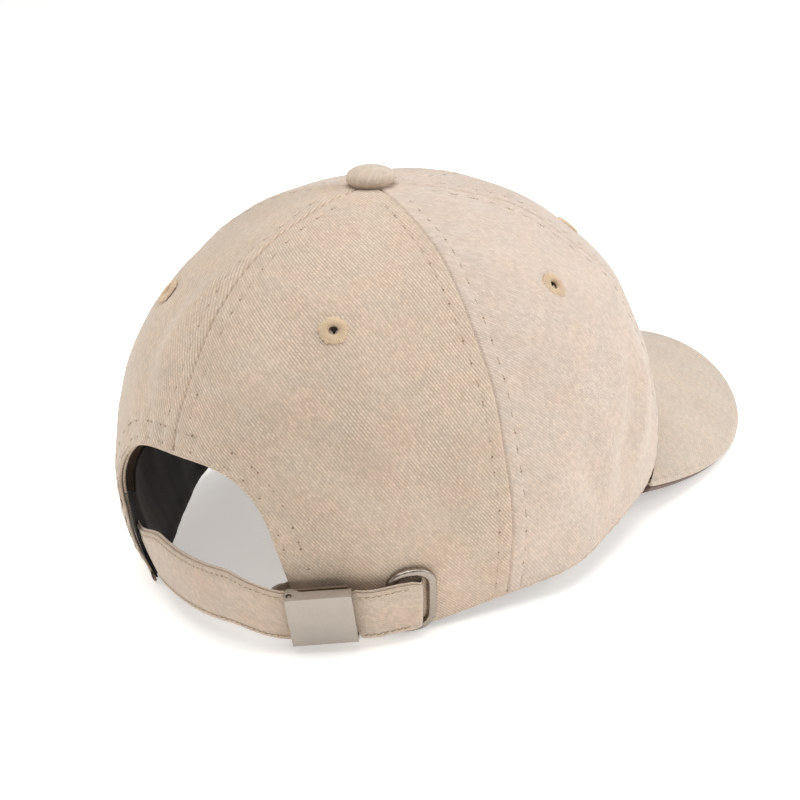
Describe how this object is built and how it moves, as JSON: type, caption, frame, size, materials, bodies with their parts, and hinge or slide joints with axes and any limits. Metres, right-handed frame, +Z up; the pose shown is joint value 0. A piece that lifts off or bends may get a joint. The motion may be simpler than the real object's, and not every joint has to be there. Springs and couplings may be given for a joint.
{
  "type": "baseball cap",
  "caption": "Soft twill baseball cap with a paneled crown, curved visor, rear arch and a strap held by a flip buckle and tuck ring.",
  "frame": {"origin": "centre of the head opening, on the plane the cap rests on", "axes": "+Z up through the top button, -Y toward the visor tip, +Y out through the rear arch, -X toward the wearer's right, where the buckle is"},
  "size_m": [0.166, 0.266, 0.1266],
  "materials": {
    "twill": "undyed heathered cotton twill, matt",
    "thread": "embroidery thread, satin",
    "tape": "cotton seam tape, matt",
    "sweatband_cotton": "black cotton, matt",
    "twill_under": "cotton twill, matt",
    "strap_twill": "folded cotton twill, matt",
    "board": "moulded polyethylene board",
    "metal": "satin nickel plate",
    "metal_dark": "satin nickel plate, darker inside"
  },
  "bodies": {
    "cap": {"panel_back_right": "twill", "panel_back_left": "twill", "panel_side_right": "twill", "panel_side_left": "twill", "panel_front_right": "twill", "panel_front_left": "twill", "eyelet_back_right": "thread", "eyelet_back_left": "thread", "eyelet_side_right": "thread", "eyelet_side_left": "thread", "eyelet_front_right": "thread", "eyelet_front_left": "thread", "seam_tape_back": "tape", "seam_tape_back_right": "tape", "seam_tape_front_right": "tape", "seam_tape_front": "tape", "seam_tape_front_left": "tape", "seam_tape_back_left": "tape", "arch_facing": "twill", "sweatband": "sweatband_cotton", "visor_cover_top": "twill", "visor_board": "board", "visor_cover_bottom": "twill_under", "visor_edge_welt": "twill", "button_cover": "twill", "button_shell": "metal_dark", "button_washer": "metal_dark", "strap": "strap_twill", "buckle_base": "metal_dark", "buckle_pin": "metal_dark", "buckle_tab": "strap_twill", "ring_front": "metal", "ring_back": "metal_dark"},
    "buckle_lever": {"buckle_cover": "metal"}
  },
  "joints": [
    {"name": "buckle_hinge", "type": "hinge", "parent": "cap", "child": "buckle_lever", "pos_m": [-0.03977, 0.09012, 0.01273], "axis": [0.1329, -0.2552, -0.9577], "range_deg": [0, 65]}
  ]
}
